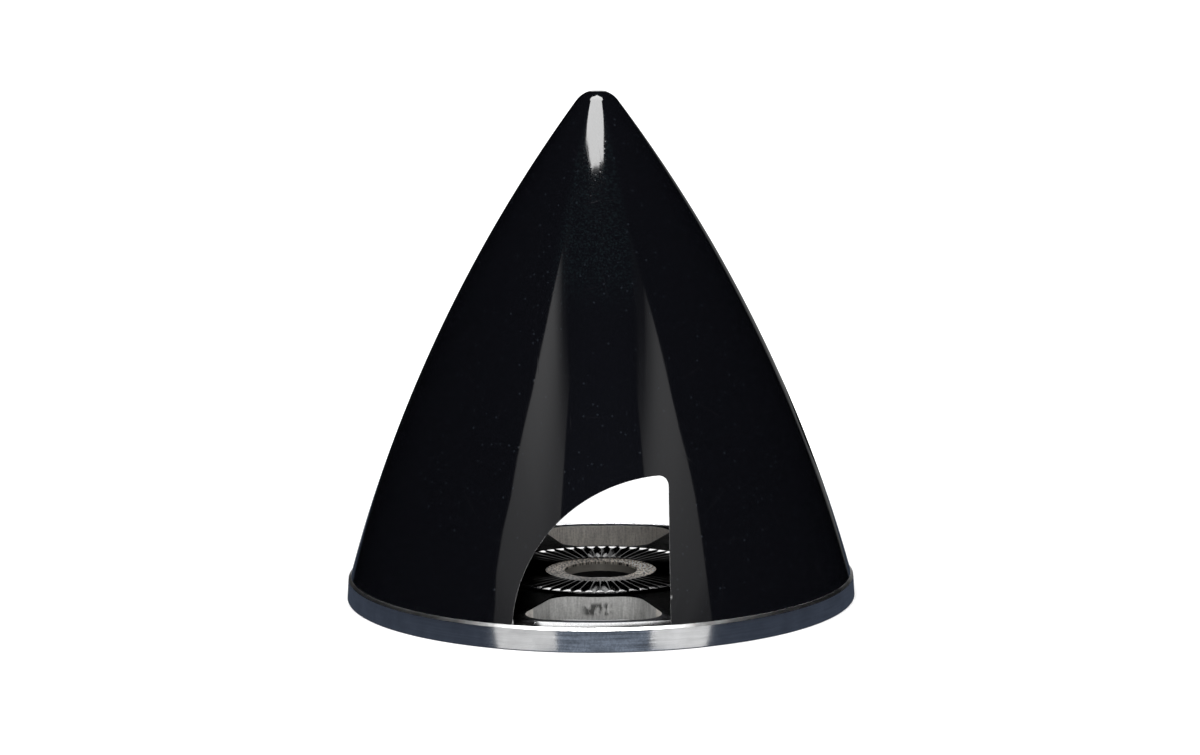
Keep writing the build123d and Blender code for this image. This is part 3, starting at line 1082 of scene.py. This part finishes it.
def buildSpecks():
    tree, start, end = shaderGroup("specks", (
        ("Place", "NodeSocketVector", None), ("Cell", "NodeSocketFloat", 0.001),
        ("Size", "NodeSocketFloat", 0.0001), ("Share", "NodeSocketFloat", 0.5)))
    cells = newNode(tree, "ShaderNodeTexVoronoi")
    tree.links.new(start.outputs["Place"], cells.inputs["Vector"])
    tree.links.new(over(tree, 1.0, start.outputs["Cell"]), cells.inputs["Scale"])
    chance = newNode(tree, "ShaderNodeSeparateColor")
    tree.links.new(cells.outputs["Color"], chance.inputs[0])
    reach = times(tree, start.outputs["Size"], chance.outputs[1])
    apart = times(tree, cells.outputs["Distance"], start.outputs["Cell"])
    inside = minus(tree, 1.0, over(tree, apart, reach), clamp=True)
    chosen = mathNode(tree, "LESS_THAN", chance.outputs[0], start.outputs["Share"])
    tree.links.new(times(tree, inside, chosen), end.inputs[0])
    return tree


grain, turnedLines, hairlines, specks = buildGrain(), buildTurnedLines(), buildHairlines(), buildSpecks()


def effect(tree, group, **links):
    node = newNode(tree, "ShaderNodeGroup", node_tree=group)
    for key, value in links.items():
        feed(tree, node.inputs[key], value)
    return node.outputs[0]


def newMaterial(name):
    paint = bpy.data.materials.new(name)
    paint.use_nodes = True
    tree = paint.node_tree
    coords = newNode(tree, "ShaderNodeTexCoord")
    return paint, tree, tree.nodes["Principled BSDF"], coords.outputs["Object"], coords.outputs["Normal"]


def band(tree, value, low, high, soft=0.02):
    return times(tree, smoothStep(tree, value, low - soft, low + soft),
                    smoothStep(tree, value, high - soft, high + soft, 1.0, 0.0))


def addBump(tree, body, height, distance, before=None):
    bump = newNode(tree, "ShaderNodeBump")
    bump.inputs["Distance"].default_value = distance
    tree.links.new(height, bump.inputs["Height"])
    if before is not None:
        tree.links.new(before, bump.inputs["Normal"])
    tree.links.new(bump.outputs[0], body.inputs["Normal"])
    return bump.outputs[0]


def roundCoordinates(tree, coords):
    x, y, z = splitVector(tree, coords)
    x, y, z = (over(tree, value, mm) for value in (x, y, z))
    radius = mathNode(tree, "SQRT", plus(tree, times(tree, x, x), times(tree, y, y)))
    turn = mathNode(tree, "ARCTAN2", x, times(tree, y, -1.0))
    return x, y, z, radius, turn


# Gloss black: moulded, with dust and hairlines, a fine haze in front below the nose,
# a matt round place on one side, and burrs at the cut-outs' upright edges with painted glints on them
glossLook = {
    "colour": (0.003, 0.0032, 0.0045),
    "roughness": (0.038, 0.062),
    "insideRoughness": 0.38,
    "waviness": 0.000006,
    "fineDepth": 0.000004,
    "tipGrain": 4.0,
    "tipGrainFrom": (56.2, 56.5),
    "hairline": (0.009, 0.009, 0.011),
    "hairlineRadius": 0.022,
    "badgeTurn": 104.0,
    "badgeHeight": 18.5,
    "badgeRadius": 8.25,
    "badgeSurfaceRadius": 24.6,
    "badgeRoughness": 0.55,
    "badgeShine": 0.02,
    "badgeSoftness": 0.08,
    "dust": (0.016, 0.020, 0.026),
    # painted glints: pale grey colour for the burrs along the upright cut edges
    "burrAndGlint": 0.45,
    "burrGlintAcross": (8.05, 8.50),
    "burrGlintHeight": (2.9, 9.5),
    "burrGlintRadius": (24.0, 24.5),
    "haze": (0.0075, 0.0120, 0.0140),
    "hazeFrom": (33.0, 40.0),
    "hazeTurn": (0.38, 0.28),
}


def buildGlossBlack(values):
    paint, tree, body, coords, normal = newMaterial("glossBlack")
    x, y, z, radius, turn = roundCoordinates(tree, coords)
    outward = newNode(tree, "ShaderNodeVectorMath", operation="DOT_PRODUCT")
    tree.links.new(normal, outward.inputs[0])
    sideways = joinVector(tree, over(tree, x, radius), over(tree, y, radius))
    tree.links.new(sideways, outward.inputs[1])
    outside = smoothStep(tree, outward.outputs["Value"], -0.1, 0.2)
    inside = smoothStep(tree, outward.outputs["Value"], -0.3, -0.6)
    unrolled = joinVector(tree, times(tree, turn, values["hairlineRadius"]),
                          times(tree, z, mm))
    besides = times(tree, minus(tree, turn, math.radians(values["badgeTurn"])),
                       values["badgeSurfaceRadius"])
    upwards = minus(tree, z, values["badgeHeight"])
    apart = mathNode(tree, "SQRT", plus(tree, times(tree, besides, besides), times(tree, upwards, upwards)))
    badgeRim, soft = values["badgeRadius"], values["badgeSoftness"]
    badge = times(tree, smoothStep(tree, apart, badgeRim + soft, badgeRim - soft), outside)
    dust = effect(tree, specks, Place=coords, Cell=0.0005, Size=0.00018, Share=0.30)
    lines = effect(tree, hairlines, Place=unrolled, Cell=0.0045, Length=0.0035, Width=0.00004, Share=0.5,
                   Bend=8.0)
    # upright cut edges, where the burrs get extra roughness and painted glints
    across = times(tree, x, mathNode(tree, "SIGN", times(tree, y, -1.0)))
    edge = times(tree, band(tree, across, *values["burrGlintAcross"], 0.05),
                 band(tree, z, *values["burrGlintHeight"], 0.3), smoothStep(tree, radius, *values["burrGlintRadius"]))
    burrAndGlint = times(tree, edge, effect(tree, specks, Place=coords, Cell=0.0006, Size=0.0004, Share=0.55))
    haze = effect(tree, grain, Place=coords, Scale=5200.0, Detail=2.0, Seed=11.0, Low=0.50, High=0.70)
    haze = times(tree, haze, outside, smoothStep(tree, magnitude(tree, turn), *values["hazeTurn"]),
                 smoothStep(tree, z, *values["hazeFrom"]))
    colour = mixColour(tree, haze, values["colour"], values["haze"])
    colour = mixColour(tree, times(tree, dust, outside), colour, values["dust"])
    colour = mixColour(tree, times(tree, lines, outside), colour, values["hairline"])
    # painted glints: the burrs' specks are coloured pale grey
    colour = mixColour(tree, burrAndGlint, colour, (values["burrAndGlint"],) * 3)
    tree.links.new(colour, body.inputs["Base Color"])
    variation = effect(tree, grain, Place=coords, Scale=220.0, Detail=3.0, Seed=3.0)
    roughness = scaled(tree, variation, *values["roughness"])
    roughness = mixValue(tree, inside, roughness, values["insideRoughness"])
    roughness = mixValue(tree, badge, roughness, values["badgeRoughness"])
    roughness = plus(tree, roughness, times(tree, lines, 0.08), times(tree, burrAndGlint, 0.4))
    tree.links.new(roughness, body.inputs["Roughness"])
    tree.links.new(mixValue(tree, badge, 0.5, values["badgeShine"]), body.inputs["Specular IOR Level"])
    wave = effect(tree, grain, Place=coords, Scale=150.0, Detail=1.0, Seed=7.0, Low=0.0, High=1.0)
    before = addBump(tree, body, wave, values["waviness"])
    tipGrain = effect(tree, grain, Place=coords, Scale=2600.0, Detail=3.0, Seed=2.0)
    tipGrain = times(tree, tipGrain, smoothStep(tree, z, *values["tipGrainFrom"]), values["tipGrain"])
    fine = plus(tree, times(tree, lines, -0.25), times(tree, dust, outside, 0.5), tipGrain)
    addBump(tree, body, fine, values["fineDepth"], before)
    return paint


# Turned aluminium: each machined zone has its colour, roughness, metallic and edge tint.
# The web and hub are coloured much darker than the bare metal; the recess, the hub's sides, the ring and the
# foot of the window walls carry painted shade and light
aluminiumLook = {
    "rim": ((0.77, 0.775, 0.785), 0.135, 1.0, 1.0),
    "chamfer": ((0.80, 0.80, 0.80), 0.38, 1.0, 1.0),
    "seat": ((0.86, 0.865, 0.875), 0.13, 1.0, 1.0),
    "web": ((0.035, 0.036, 0.040), 0.36, 1.0, 0.25),
    "hub": ((0.26, 0.26, 0.26), 0.18, 1.0, 0.35),
    "feet": ((0.80, 0.80, 0.80), 0.14, 1.0, 1.0),
    "pocket": ((0.50, 0.50, 0.50), 0.14, 1.0, 0.8),
    "ring": ((0.47, 0.41, 0.345), 0.40, 0.6, 0.8),
    # painted shade: the recess under the plate is coloured near black
    "recessShade": ((0.08, 0.08, 0.08), 0.40, 1.0, 0.2),
    "bore": ((0.32, 0.30, 0.27), 0.45, 0.4, 1.0),
    "wall": ((0.52, 0.52, 0.51), 0.58, 0.25, 1.0),
    "outerWall": ((0.80, 0.76, 0.71), 0.58, 0.25, 1.0),
    "back": ((0.74, 0.74, 0.75), 0.26, 1.0, 1.0),
    "anisotropy": 0.8,
    "linePitch": 0.0003,
    "lineDepth": 0.0000022,
    "grainDepth": 0.000016,
    "rimLines": (0.75, 1.25),
    "frontLines": (-0.3, 2.3),
    "frontTurn": 0.05,
    "frontReach": (0.205, 0.170),
    # painted shade: factor on the hub's colour and specular tint at its left and right
    "hubSideShade": 0.12,
    "ringGrain": (0.10, 1.80),
    # painted shade and light on the ring: darker in front and on the left, lighter at the back and on the
    # right
    "ringShadingFrontToBack": (0.28, 1.15),
    "ringShadingLeftToRight": (0.95, 2.10),
    "scribblesHeight": (0.55, 1.85),
    "scribblesAcross": (-1.4, 1.6),
}


def buildTurnedAluminium(values):
    paint, tree, body, coords, normal = newMaterial("turnedAluminium")
    x, y, z, radius, turn = roundCoordinates(tree, coords)
    upward = magnitude(tree, splitVector(tree, normal)[2])
    level, upright = smoothStep(tree, upward, 0.45, 0.75), smoothStep(tree, upward, 0.55, 0.25)
    high = smoothStep(tree, z, 2.0, 2.2)
    blotch = effect(tree, grain, Place=coords, Scale=420.0, Detail=4.0, Seed=1.0)
    sand = effect(tree, grain, Place=coords, Scale=4600.0, Detail=3.0, Seed=4.0, Low=0.40, High=0.60)
    pits = effect(tree, specks, Place=coords, Cell=0.0007, Size=0.00030, Share=0.35)
    zones = (
        ("chamfer", times(tree, smoothStep(tree, z, 2.28, 2.34), smoothStep(tree, radius, 28.0, 28.06))),
        ("seat", times(tree, level, high, band(tree, radius, 25.74, 28.02))),
        ("web", times(tree, level, high, band(tree, radius, 12.05, 25.72))),
        ("hub", times(tree, smoothStep(tree, z, 2.25, 2.35), band(tree, radius, 6.2, 12.06))),
        ("feet", times(tree, smoothStep(tree, z, 2.25, 2.35), band(tree, radius, 11.05, 12.06, 0.10))),
        ("pocket", times(tree, smoothStep(tree, z, 2.795, 2.775), smoothStep(tree, z, 1.9, 2.0),
                         band(tree, radius, 6.27, 12.0))),
        ("ring", times(tree, smoothStep(tree, z, 2.4, 2.5), band(tree, radius, 4.0, 6.22))),
        # painted shade in the recess under the plate
        ("recessShade", times(tree, smoothStep(tree, z, 1.75, 1.70), smoothStep(tree, radius, 8.2, 8.1))),
        ("bore", times(tree, upright, smoothStep(tree, radius, 4.2, 4.1))),
        ("wall", times(tree, upright, band(tree, radius, 12.9, 25.2, 0.1))),
        ("outerWall", times(tree, upright, band(tree, radius, 20.0, 25.2, 0.1))),
        ("back", times(tree, level, smoothStep(tree, z, 0.9, 0.8), smoothStep(tree, radius, 8.0, 8.1))),
    )
    masks = dict(zones)
    colour, roughness, metallic, tint = values["rim"]
    for key, mask in zones:
        colour = mixColour(tree, mask, colour, values[key][0])
        roughness = mixValue(tree, mask, roughness, values[key][1])
        metallic = mixValue(tree, mask, metallic, values[key][2])
        tint = mixValue(tree, mask, tint, values[key][3])
    tree.links.new(metallic, body.inputs["Metallic"])
    around = times(tree, turn, 4.0)
    across = times(tree, mixValue(tree, level, z, radius), mm)
    lines = effect(tree, turnedLines, Across=across, Around=around, Pitch=values["linePitch"], Seed=5.0)
    run = times(tree, times(tree, turn, radius), mm)
    longPlace, shortPlace = (joinVector(tree, run, times(tree, z, s * mm)) for s in (0.12, 0.4))
    streaks = effect(tree, grain, Place=longPlace, Scale=3600.0, Detail=2.0, Seed=6.0)
    # dark scribbles in the middle of the windows' inner walls, darkening their colour to a fifth
    tool = effect(tree, grain, Place=shortPlace, Scale=1700.0, Detail=3.0, Seed=8.0, Low=0.44, High=0.53)
    darkScribbles = times(tree, masks["wall"], tool, band(tree, z, *values["scribblesHeight"], 0.25),
                  band(tree, x, *values["scribblesAcross"], 0.5), smoothStep(tree, radius, 14.6, 14.2))
    # window walls: streaks and grain, plus painted shade that darkens them towards the bottom
    wallGrainAndShade = plus(tree, times(tree, streaks, 0.45), times(tree, sand, 0.20),
                    smoothStep(tree, z, 0.0, 2.6, 0.60, 0.80))
    ringPlace = joinVector(tree, times(tree, x, mm), times(tree, y, 0.3 * mm))
    ringGrain = effect(tree, grain, Place=ringPlace, Scale=4200.0, Detail=2.0, Seed=10.0, Low=0.38,
                       High=0.62)
    # ring colour: grain and pits, times painted shade and light from front to back and left to right
    ringGrainAndShading = times(tree, scaled(tree, ringGrain, *values["ringGrain"]), scaled(tree, pits, 1.0, 0.0),
                     smoothStep(tree, y, -6.0, 1.5, *values["ringShadingFrontToBack"]),
                     smoothStep(tree, x, 0.0, 4.5, *values["ringShadingLeftToRight"]))
    # across the rim's front the turned lines and grain get much stronger contrast
    fromFront = magnitude(tree, minus(tree, turn, values["frontTurn"]))
    frontContrast = smoothStep(tree, fromFront, *values["frontReach"])
    frontLines = times(tree, scaled(tree, lines, *values["frontLines"]), scaled(tree, sand, 0.86, 1.12))
    rimLines = mixValue(tree, frontContrast, scaled(tree, lines, *values["rimLines"]), frontLines)
    rimTone = times(tree, scaled(tree, blotch, 0.84, 1.10), rimLines)
    # painted shade: the hub's colour and specular tint fall off towards its left and right sides
    sideways = smoothStep(tree, magnitude(tree, y), 2.0, 6.5, values["hubSideShade"], 1.0)
    tint = times(tree, tint, mixValue(tree, masks["hub"], 1.0, sideways))
    tree.links.new(joinVector(tree, tint, tint, tint), body.inputs["Specular Tint"])
    tone = mixValue(tree, masks["wall"], rimTone, wallGrainAndShade)
    tone = mixValue(tree, masks["hub"], tone, times(tree, rimTone, sideways))
    tone = mixValue(tree, masks["ring"], tone, ringGrainAndShading)
    tone = times(tree, tone, scaled(tree, darkScribbles, 1.0, 0.20))
    colour = mixColour(tree, 1.0, colour, joinVector(tree, tone, tone, tone), "MULTIPLY")
    tree.links.new(colour, body.inputs["Base Color"])
    tree.links.new(times(tree, roughness, scaled(tree, blotch, 0.88, 1.14)), body.inputs["Roughness"])
    upwards = minus(tree, 1.0, level)
    outwardX, outwardY = (times(tree, over(tree, value, radius), level) for value in (x, y))
    tree.links.new(joinVector(tree, outwardX, outwardY, upwards), body.inputs["Tangent"])
    plain = mathNode(tree, "MAXIMUM", masks["wall"], masks["ring"])
    plain = mathNode(tree, "MAXIMUM", plain, masks["pocket"])
    turned = minus(tree, 1.0, plain)
    tree.links.new(times(tree, turned, values["anisotropy"]), body.inputs["Anisotropic"])
    before = addBump(tree, body, times(tree, lines, turned), values["lineDepth"])
    rough = plus(tree, times(tree, sand, plus(tree, masks["ring"], times(tree, masks["web"], 0.4))),
                 times(tree, streaks, masks["wall"]))
    addBump(tree, body, rough, values["grainDepth"], before)
    return paint


# Zinc plated steel for the screws
steelLook = {"colour": (0.50, 0.50, 0.52), "tone": (0.90, 1.08), "roughness": (0.25, 0.36)}


def buildScrewSteel(values):
    paint, tree, body, coords, normal = newMaterial("screwSteel")
    cloud = effect(tree, grain, Place=coords, Scale=1800.0, Detail=3.0, Seed=9.0)
    tone = scaled(tree, cloud, *values["tone"])
    colour = mixColour(tree, 1.0, values["colour"], joinVector(tree, tone, tone, tone), "MULTIPLY")
    tree.links.new(colour, body.inputs["Base Color"])
    body.inputs["Metallic"].default_value = 1.0
    tree.links.new(scaled(tree, cloud, *values["roughness"]), body.inputs["Roughness"])
    return paint


glossBlack = buildGlossBlack(glossLook)
turnedAluminium = buildTurnedAluminium(aluminiumLook)
screwSteel = buildScrewSteel(steelLook)
print("materials ready")

for build, values, finish, node, slot in (
        (buildNoseCone, noseCone, glossBlack, "spinner_cone", "cone_black"),
        (buildBackPlate, backPlate, turnedAluminium, "back_plate", "plate_aluminium"),
        (buildConeScrews, coneScrews, screwSteel, "cone_screws", "screw_steel")):
    piece = build(values, finish)
    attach(piece, "root")
    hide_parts(node)
